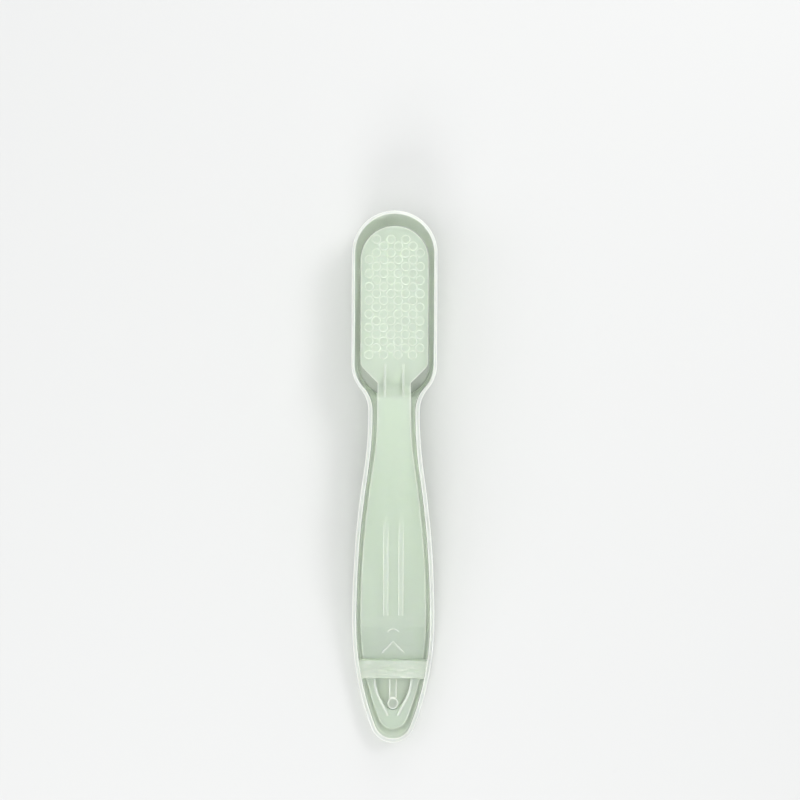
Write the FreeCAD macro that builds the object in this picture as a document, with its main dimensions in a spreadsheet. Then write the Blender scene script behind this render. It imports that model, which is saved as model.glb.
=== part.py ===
"""Sushi rice mould press: a spoon-shaped mould and a springy pusher, two plastic mouldings.

Frame, in millimetres: +Y runs from the tail of the handle to the tip of the mould, +Z is up,
and the origin is on the table, under the middle of the press.

The mould moulding is a bottomless rice mould, a channel-shaped handle, a strap across the
channel and a snap latch under it. The pusher moulding lies in the channel. Its tail is held by
the strap and the latch, a thin leaf beyond the strap bends as a hinge, and the lever carries
the plate that pushes the rice out. The pusher is one moulding, built as four nodes that meet
face to face where it bends and where the plate begins.
"""
import FreeCAD, Part
import os

import Sketcher
from FreeCAD import Vector

doc = FreeCAD.newDocument("rice_mould_press")

# ---------------------------------------------------------------------------------------------
# Driving dimensions, in millimetres and degrees
# ---------------------------------------------------------------------------------------------
DRIVING = [
    # the whole press
    ("tail_end", 84.3, "tail of the handle, behind the origin"),
    ("mould_tip", 84.3, "tip of the mould, ahead of the origin"),
    ("mould_height", 20.0, "rim of the mould above the table"),
    # rice mould
    ("mould_width", 26.6, "outside width at the rim"),
    ("mould_wall", 1.0, "wall at the rim"),
    ("mould_draft", 2.0, "slope of the outside of the mould"),
    ("cavity_draft", 3.0, "slope of the inside of the mould"),
    ("cavity_back", 26.6, "back wall of the cavity, ahead of the origin"),
    ("cavity_round", 11.0, "rounded back corners of the cavity"),
    ("shoulder_start", 36.4, "where the straight side ends"),
    ("shoulder_round", 11.5, "radius of the shoulder"),
    # handle, seen from above
    ("neck_width", 15.9, "narrowest width, behind the mould"),
    ("neck_place", 22.0, "where the handle is narrowest"),
    ("grip_width", 26.1, "widest part of the handle"),
    ("grip_place", 46.5, "where it is widest, behind the origin"),
    ("grip_round", 330.0, "radius of the flank ahead of the widest part"),
    ("tail_round", 7.3, "radius of the rounded end of the tail"),
    ("handle_wall", 1.35, "side walls of the channel"),
    # handle, seen from the side
    ("floor_wall", 1.5, "floor of the channel"),
    ("tail_height", 6.0, "height of the walls at the tail"),
    ("rim_slope", 15.5, "slope of the wall tops between tail and neck"),
    ("rim_bend_place", 66.0, "where the wall tops start to rise, behind the origin"),
    ("rim_bend_round", 55.0, "radius of that bend"),
    ("rim_crown_round", 90.0, "radius where the wall tops level off"),
    ("under_round", 2.8, "rounded lower edges of the handle"),
    ("channel_round", 1.5, "rounded lower edges inside the channel"),
    ("lip_run", 2.2, "notch in the end of the floor, which clears the slope of the lever"),
    # pusher
    ("pad_thick", 1.5, "tail of the pusher, under the strap"),
    ("leaf_thick", 1.1, "leaf that bends"),
    ("lever_thick", 1.6, "lever"),
    ("plate_thick", 1.5, "plate"),
    ("leaf_back", 58.0, "tail end of the leaf, behind the origin"),
    ("leaf_front", 43.6, "lever end of the leaf, behind the origin"),
    ("leaf_bend", 16.0, "angle that the leaf is moulded to"),
    ("lever_end", 25.8, "where the lever turns down to the plate"),
    ("lever_neck_width", 10.4, "narrowest width of the lever"),
    ("rim_recess", 0.3, "end of the lever below the rim"),
    ("press_angle", 6.2, "full travel of the lever"),
    ("web_run", 4.2, "slope from the lever down to the plate, along the press"),
    ("web_crest", 0.7, "crest of the slope ahead of the end of the lever"),
    ("plate_level", 14.4, "underside of the plate above the table"),
    ("plate_neck", 0.8, "plate at the width of the lever, ahead of the slope"),
    ("plate_round", 3.0, "rounded back corners of the plate"),
    # ribs on the lever, gussets on the slope
    ("rib_thick", 1.6, "thickness of a rib"),
    ("rib_spacing", 4.8, "distance between the two ribs"),
    ("rib_height", 0.9, "height of a rib at its tail end"),
    ("rib_length", 33.7, "length of a rib, which tapers to nothing"),
    ("gusset_thick", 0.8, "thickness of a gusset"),
    ("gusset_spacing", 5.8, "distance between the two gussets"),
    ("gusset_reach", 7.0, "length of a gusset along the plate"),
    # strap and latch
    ("strap_width", 6.1, "strap, along the handle"),
    ("strap_thick", 1.4, "thickness of the strap"),
    ("window_width", 11.1, "latch window in the tail of the pusher"),
    ("window_lap", 0.6, "start of the window, ahead of the back edge of the strap"),
    ("window_end", 74.4, "rounded end of the window, behind the origin"),
    ("window_round", 2.9, "radius of that end"),
    ("window_flank", 15.3, "radius of the bowed sides of the window"),
    ("window_rib_thick", 0.8, "low ribs along the sides of the window"),
    ("window_rib_height", 0.5, "height of those ribs"),
    ("window_rib_bend", 71.0, "where those ribs run straight on, behind the origin"),
    ("window_rib_end", 76.2, "end of those ribs, behind the origin"),
    ("latch_width", 2.4, "ramp of the latch"),
    ("latch_boss", 3.5, "diameter of the boss at the end of the ramp"),
    ("latch_height", 1.9, "boss above the floor"),
    # clearances
    ("plate_gap", 0.65, "plate to the side of the cavity at the table"),
    ("tip_gap", 2.3, "plate to the tip of the cavity at the table"),
    ("lever_gap", 1.15, "lever to the walls of the channel"),
    ("tail_gap", 2.35, "pusher to the end of the channel"),
    ("seat_gap", 0.15, "pusher above the floor of the channel"),
    ("strap_gap", 0.3, "strap above the pusher"),
    ("landing_gap", 0.35, "pressed lever above the floor"),
    ("latch_gap", 0.35, "boss to the end of the window"),
]

# ---------------------------------------------------------------------------------------------
# Sizes and places that follow from the driving dimensions
# ---------------------------------------------------------------------------------------------
DERIVED = [
    # plan of the mould and the handle
    ("mould_half", "mould_width / 2"),
    ("mould_foot_half", "mould_half - mould_height * tan(mould_draft)"),
    ("cavity_half", "mould_half - mould_wall"),
    ("cavity_foot_half", "cavity_half - mould_height * tan(cavity_draft)"),
    ("tip_centre", "mould_tip - mould_half"),
    ("foot_wall", "mould_foot_half - cavity_foot_half"),
    ("cavity_corner", "min(cavity_round; cavity_foot_half - foot_wall / 10)"),
    ("mould_back", "cavity_back - foot_wall"),
    ("mould_back_round", "cavity_corner + foot_wall"),
    ("handle_end", "max(shoulder_start; cavity_back + cavity_corner) + 1"),
    ("neck_half", "neck_width / 2"),
    ("grip_half", "grip_width / 2"),
    ("tail_length", "tail_end - grip_place"),
    ("channel_neck_half", "neck_half - handle_wall"),
    ("channel_grip_half", "grip_half - handle_wall"),
    ("channel_grip_round", "grip_round - handle_wall"),
    ("channel_tail_length", "tail_length - handle_wall"),
    ("channel_tail_round", "tail_round - handle_wall"),
    ("channel_shoulder_round", "shoulder_round - mould_wall"),
    # wall tops, seen from the side
    ("bend_top_place", "rim_bend_round * sin(rim_slope) - rim_bend_place"),
    ("bend_top_level", "tail_height + rim_bend_round * (1 - cos(rim_slope))"),
    ("crown_start_level", "mould_height - rim_crown_round * (1 - cos(rim_slope))"),
    ("crown_start_place", "bend_top_place + (crown_start_level - bend_top_level) / tan(rim_slope)"),
    ("crown_end_place", "crown_start_place + rim_crown_round * sin(rim_slope)"),
    # plan of the pusher
    ("lever_neck_half", "lever_neck_width / 2"),
    ("lever_grip_half", "channel_grip_half - lever_gap"),
    ("lever_grip_round", "channel_grip_round - lever_gap"),
    ("lever_tail_length", "channel_tail_length - tail_gap"),
    ("lever_tail_round", "channel_tail_round - lever_gap"),
    ("plate_half", "cavity_foot_half - plate_gap"),
    ("plate_tip", "tip_centre + cavity_foot_half - tip_gap"),
    ("web_end", "lever_end + web_run"),
    ("plate_corner_place", "web_end + plate_neck + plate_half - lever_neck_half"),
    ("plate_corner_run", "plate_round * tan(22.5)"),
    # underside of the pusher, seen from the side: flat pad, leaf arc, lever arc
    ("seat_level", "floor_wall + seat_gap"),
    ("leaf_radius", "(leaf_back - leaf_front) / sin(leaf_bend)"),
    ("root_level", "seat_level + leaf_radius * (1 - cos(leaf_bend))"),
    ("lever_level", "mould_height - rim_recess - lever_thick"),
    ("lever_run", "lever_end + leaf_front"),
    ("lever_rise", "lever_level - root_level"),
    ("lever_chord_angle", "atan(lever_rise / lever_run) / 1 deg"),
    ("lever_half_turn", "leaf_bend - lever_chord_angle"),
    ("lever_radius", "sqrt(pow(lever_run; 2) + pow(lever_rise; 2)) / (2 * sin(lever_half_turn))"),
    ("lever_end_slope", "leaf_bend - 2 * lever_half_turn"),
    # the pusher turns about the middle of its leaf
    ("pivot_place", "leaf_radius * sin(leaf_bend / 2) - leaf_back"),
    ("pivot_level", "seat_level + leaf_radius * (1 - cos(leaf_bend / 2)) + leaf_thick / 2"),
    # floor of the channel: where the underside of the lever lies when it is pressed
    ("root_down_place", "pivot_place - (leaf_front + pivot_place) * cos(press_angle)"
                        " + (root_level - pivot_level) * sin(press_angle)"),
    ("root_down_level", "pivot_level + (root_level - pivot_level) * cos(press_angle)"
                        " + (leaf_front + pivot_place) * sin(press_angle) - landing_gap"),
    ("end_down_place", "pivot_place + (lever_end - pivot_place) * cos(press_angle)"
                       " + (lever_level - pivot_level) * sin(press_angle)"),
    ("end_down_level", "pivot_level + (lever_level - pivot_level) * cos(press_angle)"
                       " - (lever_end - pivot_place) * sin(press_angle) - landing_gap"),
    ("floor_slope", "leaf_bend - press_angle"),
    ("floor_end_slope", "lever_end_slope - press_angle"),
    ("floor_bend_radius", "(root_down_level - floor_wall) / (1 - cos(floor_slope))"),
    ("floor_bend_place", "root_down_place - floor_bend_radius * sin(floor_slope)"),
    ("floor_end", "handle_end + 1"),
    ("floor_end_level", "end_down_level + (floor_end - end_down_place) * tan(floor_end_slope)"),
    # notch in the end of the floor, parallel to the slope of the pressed lever
    ("lip_place", "end_down_place - landing_gap"),
    ("lip_slope", "atan((lever_level - plate_level) / web_run) / 1 deg + press_angle"),
    ("lip_drop", "lip_run * tan(lip_slope)"),
    ("lip_width", "lever_neck_width + 2 * lever_gap"),
    # rib: slope of the lever where the rib ends
    ("rib_end_slope", "asin(sin(leaf_bend) - rib_length / lever_radius) / 1 deg"),
    # strap, and the latch window that starts under it
    ("strap_level", "seat_level + pad_thick + strap_gap"),
    ("strap_back", "leaf_back + strap_width"),
    ("window_start", "strap_back - window_lap"),
    ("window_nose", "window_end - window_round"),
    ("window_reach", "sqrt(pow(window_width / 2; 2) + pow(window_nose - window_start; 2))"),
    ("window_bow", "window_flank - window_round"),
    ("window_turn", "(atan(2 * (window_nose - window_start) / window_width)"
                    " + acos((pow(window_reach; 2) + pow(window_bow; 2) - pow(window_flank; 2))"
                    " / (2 * window_reach * window_bow))) / 1 deg - 180"),
    ("window_bow_half", "-window_bow * cos(window_turn)"),
    ("window_bow_place", "window_nose + window_bow * sin(window_turn)"),
    ("window_rib_start", "strap_back + strap_gap"),
    ("window_rib_turn", "asin((window_rib_bend - window_bow_place)"
                        " / (window_flank + window_rib_thick / 2)) / 1 deg"),
    ("window_rib_run", "(window_rib_end - window_rib_bend) / cos(window_rib_turn)"),
    ("latch_place", "window_end - latch_gap - latch_boss / 2"),
]

sheet = doc.addObject("Spreadsheet::Sheet", "Size")
for row, (alias, size, note) in enumerate(DRIVING, start=1):
    sheet.set(f"A{row}", note)
    sheet.set(f"B{row}", str(size))
    sheet.setAlias(f"B{row}", alias)
for row, (alias, formula) in enumerate(DERIVED, start=len(DRIVING) + 2):
    sheet.set(f"A{row}", alias.replace("_", " "))
    sheet.set(f"B{row}", "=" + formula)
    sheet.setAlias(f"B{row}", alias)
doc.recompute()


def number(expression):
    """Value of an expression in the sheet's names, such as "Size.mould_half - 1"."""
    result = sheet.evalExpression(expression)
    return float(getattr(result, "Value", result))


# ---------------------------------------------------------------------------------------------
# Sketches whose corners and radii are bound to the sheet
# ---------------------------------------------------------------------------------------------
def new_body(name):
    body = doc.addObject("PartDesign::Body", name)
    body.Label = name
    return body


def new_sketch(body, name, plane, level=None):
    """Sketch on one of the body's own planes, or a level along that plane's normal."""
    sketch = body.newObject("Sketcher::SketchObject", name)
    support = [item for item in body.Origin.OriginFeatures if item.Role == plane][0]
    sketch.AttachmentSupport = [(support, "")]
    sketch.MapMode = "FlatFace"
    if level:
        sketch.setExpression("AttachmentOffset.Base.z", level)
    return sketch


def bind(sketch, kind, *places, to):
    """Add one dimension and bind it to an expression."""
    index = sketch.addConstraint(Sketcher.Constraint(kind, *places, number(to)))
    sketch.setExpression(f"Constraints[{index}]", to)


def arc_between(start, end, radius, centre_on_left):
    """Shorter arc from start to end, with its centre to the left or right of the way there."""
    chord = end - start
    across = Vector(-chord.y, chord.x, 0).normalize()
    offset = max(radius ** 2 - chord.Length ** 2 / 4, 0) ** 0.5
    centre = (start + end) * 0.5 + across * (offset if centre_on_left else -offset)
    circle = Part.Circle(centre, Vector(0, 0, 1), radius)
    first, last = (start, end) if centre_on_left else (end, start)
    return Part.ArcOfCircle(circle, circle.parameter(first), circle.parameter(last))


def draw_loop(sketch, corners):
    """Draw a closed loop of (x, y, edge) corners, where edge leads on to the next corner.

    An edge is None for a line, or ("left", radius) or ("right", radius) for an arc with its
    centre on that side of the way there.
    """
    points = [Vector(number(x), number(y), 0) for x, y, _ in corners]
    pieces = []
    for place, (_, _, edge) in enumerate(corners):
        start, end = points[place], points[(place + 1) % len(points)]
        if edge is None:
            piece = sketch.addGeometry(Part.LineSegment(start, end), False)
            pieces.append((piece, 1, 2))
        else:
            centre_on_left = edge[0] == "left"
            arc = arc_between(start, end, number(edge[1]), centre_on_left)
            piece = sketch.addGeometry(arc, False)
            bind(sketch, "Radius", piece, to=edge[1])
            pieces.append((piece, 1, 2) if centre_on_left else (piece, 2, 1))
    for place, (x, y, _) in enumerate(corners):
        before, _, before_end = pieces[place - 1]
        piece, piece_start, _ = pieces[place]
        sketch.addConstraint(
            Sketcher.Constraint("Coincident", before, before_end, piece, piece_start))
        bind(sketch, "DistanceX", -1, 1, before, before_end, to=x)
        bind(sketch, "DistanceY", -1, 1, before, before_end, to=y)


def both_sides(right):
    """Whole outline from its right side, whose first corner may lie on the centre line."""
    on_centre = right[0][0] == "0"
    last = 1 if on_centre else 0
    left = []
    for place in range(len(right) - 1, last - 1, -1):
        x, y, _ = right[place]
        edge = right[place - 1][2] if place else None
        left.append((f"-({x})", y, edge))
    return right + left


def s_curve(start_x, start_y, end_x, end_y, start_radius):
    """Two tangent arcs between two places where the outline runs straight along Y.

    Gives the point where they meet and the radius of the second arc.
    """
    across = f"({start_x} - {end_x})"
    along = f"({start_y} - {end_y})"
    both_radii = f"((pow({across}; 2) + pow({along}; 2)) / (2 * abs({across})))"
    share = f"({start_radius} / {both_radii})"
    middle = (f"{start_x} - {across} * {share}", f"{start_y} - {along} * {share}")
    return middle, f"{both_radii} - {start_radius}"


def flank(neck_half, grip_half, grip_round, tail_length, tail_round):
    """Right side of the handle or the lever, from the neck to the end of the tail.

    Behind its widest part a long arc runs into the round end, and both share a tangent there.
    """
    place = "Size.neck_place"
    grip = "-Size.grip_place"
    (x, y), neck_round = s_curve(grip_half, grip, neck_half, place, grip_round)
    reach = f"({tail_length} - {tail_round})"
    tail_flank = (f"((pow({grip_half}; 2) + pow({reach}; 2) - pow({tail_round}; 2))"
                  f" / (2 * ({grip_half} - {tail_round})))")
    between = f"({tail_flank} - {tail_round})"
    return [
        (neck_half, place, ("left", neck_round)),
        (x, y, ("right", grip_round)),
        (grip_half, grip, ("right", tail_flank)),
        (f"{tail_round} * ({tail_flank} - {grip_half}) / {between}",
         f"{grip} - {reach} * {tail_flank} / {between}", ("right", tail_round)),
    ]


def handle_outline(mould_half, shoulder_round, neck_half, *sizes):
    """Plan of the handle with the shoulders that widen into the sides of the mould."""
    start = "Size.shoulder_start"
    (x, y), neck_round = s_curve(mould_half, start, neck_half, "Size.neck_place", shoulder_round)
    shoulder = [
        (mould_half, "Size.handle_end", None),
        (mould_half, start, ("right", shoulder_round)),
        (x, y, ("left", neck_round)),
    ]
    return both_sides(shoulder + flank(neck_half, *sizes))


def mould_outline(half, back, corner_round):
    """Plan of the mould or its cavity: a round tip, straight sides and rounded back corners."""
    return both_sides([
        ("0", f"Size.tip_centre + {half}", ("right", half)),
        (half, "Size.tip_centre", None),
        (half, f"{back} + {corner_round}", ("right", corner_round)),
        (f"{half} - {corner_round}", back, None),
    ])


# ---------------------------------------------------------------------------------------------
# Features
# ---------------------------------------------------------------------------------------------
def loft(body, name, low, high):
    """Solid between an outline on the table and one at the rim."""
    lower = new_sketch(body, name + "_foot", "XY_Plane")
    draw_loop(lower, low)
    upper = new_sketch(body, name + "_rim", "XY_Plane", level="Size.mould_height")
    draw_loop(upper, high)
    feature = body.newObject("PartDesign::AdditiveLoft", name)
    feature.Profile = lower
    feature.Sections = [upper]
    feature.Ruled = True
    return feature


def pad(body, name, plane, corners, thickness, level=None, symmetric=False):
    """Plate of a given thickness on a plane."""
    sketch = new_sketch(body, name + "_outline", plane, level)
    draw_loop(sketch, corners)
    feature = body.newObject("PartDesign::Pad", name)
    feature.Profile = sketch
    feature.SideType = "Symmetric" if symmetric else "One side"
    feature.setExpression("Length", thickness)
    return feature


def cut_across(body, name, corners):
    """Cut a side profile right through, from one side of the press to the other."""
    sketch = new_sketch(body, name + "_profile", "YZ_Plane")
    draw_loop(sketch, corners)
    feature = body.newObject("PartDesign::Pocket", name)
    feature.Profile = sketch
    feature.Type = "ThroughAll"
    feature.SideType = "Symmetric"
    return feature


FAR = "200"
BELOW = "-5"
ABOVE = "Size.mould_height + 5"


def rim_profile():
    """Everything above the wall tops of the handle, seen from the side."""
    return [
        (f"-{FAR}", "Size.tail_height", None),
        ("-Size.rim_bend_place", "Size.tail_height", ("left", "Size.rim_bend_round")),
        ("Size.bend_top_place", "Size.bend_top_level", None),
        ("Size.crown_start_place", "Size.crown_start_level", ("right", "Size.rim_crown_round")),
        ("Size.crown_end_place", "Size.mould_height", None),
        ("Size.crown_end_place", ABOVE, None),
        (f"-{FAR}", ABOVE, None),
    ]


def floor_profile(drop):
    """Everything below the floor of the channel, or a drop below it."""
    slope, end_slope = "Size.floor_slope", "Size.floor_end_slope"
    return [
        (f"-{FAR}", BELOW, None),
        (f"-{FAR}", f"Size.floor_wall - {drop}", None),
        ("Size.floor_bend_place", f"Size.floor_wall - {drop}",
         ("left", f"Size.floor_bend_radius + {drop}")),
        (f"Size.root_down_place + {drop} * sin({slope})",
         f"Size.root_down_level - {drop} * cos({slope})",
         ("right", f"Size.lever_radius - {drop}")),
        (f"Size.end_down_place + {drop} * sin({end_slope})",
         f"Size.end_down_level - {drop} * cos({end_slope})", None),
        ("Size.floor_end", f"Size.floor_end_level - {drop} / cos({end_slope})", None),
        ("Size.floor_end", BELOW, None),
    ]


# ---------------------------------------------------------------------------------------------
# Rounded edges, found by where they lie
# ---------------------------------------------------------------------------------------------
def round_edges(body, name, radius, chosen):
    """Fillet those edges of the body that chosen(edge) accepts."""
    doc.recompute()
    base = body.Tip
    names = [f"Edge{place}" for place, edge in enumerate(base.Shape.Edges, start=1)
             if chosen(edge)]
    feature = body.newObject("PartDesign::Fillet", name)
    feature.Base = (base, names)
    feature.setExpression("Radius", radius)
    return feature


def places_along(edge):
    """Three places along an edge: near its start, in its middle and near its end."""
    first, last = edge.FirstParameter, edge.LastParameter
    return [edge.valueAt(first + share * (last - first)) for share in (0.02, 0.5, 0.98)]


def runs_along_press(edge):
    """True unless the edge crosses the press or stands upright."""
    places = [place.y for place in places_along(edge)]
    return max(places) - min(places) > 0.5


def is_floor_edge(edge):
    """True for a lower side edge of the handle, or of the channel inside it."""
    top = number("Size.floor_end_level") + 0.01
    return runs_along_press(edge) and all(place.z < top for place in places_along(edge))


# ---------------------------------------------------------------------------------------------
# Mould moulding: the outside first, then the core that hollows it
# ---------------------------------------------------------------------------------------------
MOULD_BACK = ("Size.mould_back", "Size.mould_back_round")
CAVITY_BACK = ("Size.cavity_back", "Size.cavity_corner")
HANDLE = ("Size.shoulder_round", "Size.neck_half", "Size.grip_half", "Size.grip_round",
          "Size.tail_length", "Size.tail_round")
CHANNEL = ("Size.channel_shoulder_round", "Size.channel_neck_half", "Size.channel_grip_half",
           "Size.channel_grip_round", "Size.channel_tail_length", "Size.channel_tail_round")


def make_outside(body):
    """Handle and mould as one solid block."""
    loft(body, "handle", handle_outline("Size.mould_foot_half", *HANDLE),
         handle_outline("Size.mould_half", *HANDLE))
    cut_across(body, "underside", floor_profile("Size.floor_wall"))
    round_edges(body, "handle_underside_round", "Size.under_round", is_floor_edge)
    cut_across(body, "wall_tops", rim_profile())
    loft(body, "mould", mould_outline("Size.mould_foot_half", *MOULD_BACK),
         mould_outline("Size.mould_half", *MOULD_BACK))


def cut_latch(core):
    """Slots for the latch: a round boss, and a ramp that climbs to it from under the strap."""
    boss = "-Size.latch_place"
    ramp_start = "-Size.strap_back"
    below = "Size.floor_wall - 1"
    boss_slot = new_sketch(core, "boss_outline", "XY_Plane", level=below)
    circle = Part.Circle(Vector(0, number(boss), 0), Vector(0, 0, 1), number("Size.latch_boss") / 2)
    piece = boss_slot.addGeometry(circle, False)
    bind(boss_slot, "DistanceX", -1, 1, piece, 3, to="0")
    bind(boss_slot, "DistanceY", -1, 1, piece, 3, to=boss)
    bind(boss_slot, "Diameter", piece, to="Size.latch_boss")
    feature = core.newObject("PartDesign::Pocket", "boss_slot")
    feature.Profile = boss_slot
    feature.Reversed = True
    feature.setExpression("Length", "Size.latch_height + 1")
    ramp = new_sketch(core, "ramp_profile", "YZ_Plane")
    draw_loop(ramp, [
        (ramp_start, "Size.floor_wall", None),
        (boss, "Size.floor_wall + Size.latch_height", None),
        (boss, below, None),
        (ramp_start, below, None),
    ])
    feature = core.newObject("PartDesign::Pocket", "ramp_slot")
    feature.Profile = ramp
    feature.SideType = "Symmetric"
    feature.setExpression("Length", "Size.latch_width")


def make_core():
    """The space inside: the rice cavity, and the channel above its floor.

    Slots in this core leave the strap and the latch standing in the moulding.
    """
    body = new_body("core")
    loft(body, "channel", handle_outline("Size.cavity_foot_half", *CHANNEL),
         handle_outline("Size.cavity_half", *CHANNEL))
    cut_across(body, "floor", floor_profile("0"))
    round_edges(body, "channel_floor_round", "Size.channel_round", is_floor_edge)
    loft(body, "cavity", mould_outline("Size.cavity_foot_half", *CAVITY_BACK),
         mould_outline("Size.cavity_half", *CAVITY_BACK))
    pad(body, "lip", "YZ_Plane", [
        ("Size.lip_place", "Size.end_down_level + Size.lever_thick", None),
        ("Size.lip_place", "Size.end_down_level", None),
        ("Size.lip_place + Size.lip_run", "Size.end_down_level - Size.lip_drop", None),
        ("Size.lip_place + Size.lip_run", "Size.end_down_level + Size.lever_thick", None),
    ], "Size.lip_width", symmetric=True)
    cut_across(body, "strap_slot", [
        ("-Size.leaf_back", "Size.strap_level", None),
        ("-Size.leaf_back", "Size.strap_level + Size.strap_thick", None),
        ("-Size.strap_back", "Size.strap_level + Size.strap_thick", None),
        ("-Size.strap_back", "Size.strap_level", None),
    ])
    cut_latch(body)
    return body


def make_mould_body():
    body = new_body("mould_body")
    make_outside(body)
    hollow = body.newObject("PartDesign::Boolean", "hollow")
    hollow.setObjects([make_core()])
    hollow.Type = "Cut"
    return body


# ---------------------------------------------------------------------------------------------
# Pusher moulding: side profiles as wide as the handle, trimmed to the plan of the lever
# ---------------------------------------------------------------------------------------------
def strip(body, name, corners):
    """Solid with a side profile, wider than the pusher."""
    return pad(body, name, "YZ_Plane", corners, "Size.grip_width", symmetric=True)


def trim_to_lever(body):
    """Cut away all that lies outside the plan of the lever and the pusher's tail."""
    front = "Size.mould_tip"
    sides = flank("Size.lever_neck_half", "Size.lever_grip_half", "Size.lever_grip_round",
                  "Size.lever_tail_length", "Size.lever_tail_round")
    sketch = new_sketch(body, "lever_plan", "XY_Plane")
    draw_loop(sketch, both_sides([(FAR, FAR, None), (FAR, f"-{FAR}", None)]))
    draw_loop(sketch, both_sides([("Size.lever_neck_half", front, None)] + sides))
    feature = body.newObject("PartDesign::Pocket", "trim")
    feature.Profile = sketch
    feature.Type = "ThroughAll"
    feature.SideType = "Symmetric"


def beside(place, level, distance, slope):
    """Point at a distance above (place, level), at right angles to a slope."""
    return f"{place} - ({distance}) * sin({slope})", f"{level} + ({distance}) * cos({slope})"


def beside_window(place, distance):
    """Half width of the window's bowed side, and a distance more, at a place behind the origin."""
    return (f"(Size.window_bow_half + sqrt(pow(Size.window_flank + {distance}; 2)"
            f" - pow({place} - Size.window_bow_place; 2)))")


def along_window_rib(distance, run):
    """Point on one side of a window rib where its arc ends, or a run further straight on."""
    radius, turn = f"(Size.window_flank + {distance})", "Size.window_rib_turn"
    return (f"(Size.window_bow_half + {radius} * cos({turn}) - {run} * sin({turn}))",
            f"-(Size.window_bow_place + {radius} * sin({turn}) + {run} * cos({turn}))")


def make_pusher_tail():
    """Flat pad under the strap, with the window that the latch snaps into."""
    body = new_body("pusher_tail")
    top = "Size.seat_level + Size.pad_thick"
    strip(body, "seat", [
        ("-Size.tail_end", "Size.seat_level", None),
        ("-Size.leaf_back", "Size.seat_level", None),
        ("-Size.leaf_back", top, None),
        ("-Size.tail_end", top, None),
    ])
    trim_to_lever(body)
    window = new_sketch(body, "window_outline", "XY_Plane")
    draw_loop(window, both_sides([
        ("Size.window_width / 2", "-Size.window_start", ("right", "Size.window_flank")),
        ("Size.window_round * cos(Size.window_turn)",
         "Size.window_round * sin(Size.window_turn) - Size.window_nose",
         ("right", "Size.window_round")),
    ]))
    feature = body.newObject("PartDesign::Pocket", "latch_window")
    feature.Profile = window
    feature.Type = "ThroughAll"
    feature.SideType = "Symmetric"
    start, thick, run = "Size.window_rib_start", "Size.window_rib_thick", "Size.window_rib_run"
    far_side = [along_window_rib(thick, "0"), along_window_rib(thick, run)]
    near_side = [along_window_rib("0", run), along_window_rib("0", "0")]
    for side, sign, outer, inner in (("left", "-", "left", "right"), ("right", "", "right", "left")):
        pad(body, f"{side}_window_rib", "XY_Plane", [
            (sign + beside_window(start, "0"), f"-{start}", None),
            (sign + beside_window(start, thick), f"-{start}",
             (outer, f"Size.window_flank + {thick}")),
            *[(sign + x, y, None) for x, y in far_side],
            (sign + near_side[0][0], near_side[0][1], None),
            (sign + near_side[1][0], near_side[1][1], (inner, "Size.window_flank")),
        ], "Size.pad_thick + Size.window_rib_height", level="Size.seat_level")
    return body


def make_hinge_leaf():
    """Thin curved leaf between the tail and the lever."""
    body = new_body("hinge_leaf")
    top_place, top_level = beside("-Size.leaf_front", "Size.root_level", "Size.leaf_thick",
                                  "Size.leaf_bend")
    strip(body, "leaf", [
        ("-Size.leaf_back", "Size.seat_level", ("left", "Size.leaf_radius")),
        ("-Size.leaf_front", "Size.root_level", None),
        (top_place, top_level, ("right", "Size.leaf_radius - Size.leaf_thick")),
        ("-Size.leaf_back", "Size.seat_level + Size.leaf_thick", None),
    ])
    trim_to_lever(body)
    return body


def lever_point(slope, above):
    """Point where the lever has a slope, at a distance above its underside."""
    radius = f"(Size.lever_radius + {above})"
    centre_place = "Size.lever_radius * sin(Size.leaf_bend) - Size.leaf_front"
    centre_level = "Size.root_level - Size.lever_radius * cos(Size.leaf_bend)"
    return (f"{centre_place} - {radius} * sin({slope})",
            f"{centre_level} + {radius} * cos({slope})")


def make_press_lever():
    """Long bowed lever with two ribs, and the slope with two gussets down to the plate."""
    body = new_body("press_lever")
    root, end = "Size.leaf_bend", "Size.lever_end_slope"
    top = "Size.lever_thick"
    plate_top = "Size.plate_level + Size.plate_thick"
    crest = ("Size.lever_end + Size.web_crest", "Size.lever_level + Size.lever_thick")
    strip(body, "lever", [
        ("-Size.leaf_front", "Size.root_level", ("right", "Size.lever_radius")),
        ("Size.lever_end", "Size.lever_level", None),
        ("Size.web_end", "Size.plate_level", None),
        ("Size.web_end", plate_top, None),
        (*crest, None),
        (*lever_point(end, top), ("left", f"Size.lever_radius + {top}")),
        (*lever_point(root, top), None),
    ])
    trim_to_lever(body)
    for side, sign in (("left", "-"), ("right", "")):
        inside = "Size.lever_thick / 2"
        pad(body, f"{side}_rib", "YZ_Plane", [
            (*lever_point(root, inside), ("right", f"Size.lever_radius + {inside}")),
            (*lever_point("Size.rib_end_slope", inside), None),
            (*lever_point("Size.rib_end_slope", top), ("left", f"Size.lever_radius + {top}")),
            (*lever_point(root, f"{top} + Size.rib_height"), None),
        ], "Size.rib_thick", level=f"{sign}Size.rib_spacing / 2", symmetric=True)
        pad(body, f"{side}_gusset", "YZ_Plane", [
            ("Size.web_end", plate_top, None),
            ("Size.web_end + Size.gusset_reach", plate_top, None),
            (*crest, None),
            ("Size.lever_end", f"Size.lever_level + {inside}", None),
        ], "Size.gusset_thick", level=f"{sign}Size.gusset_spacing / 2", symmetric=True)
    return body


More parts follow.
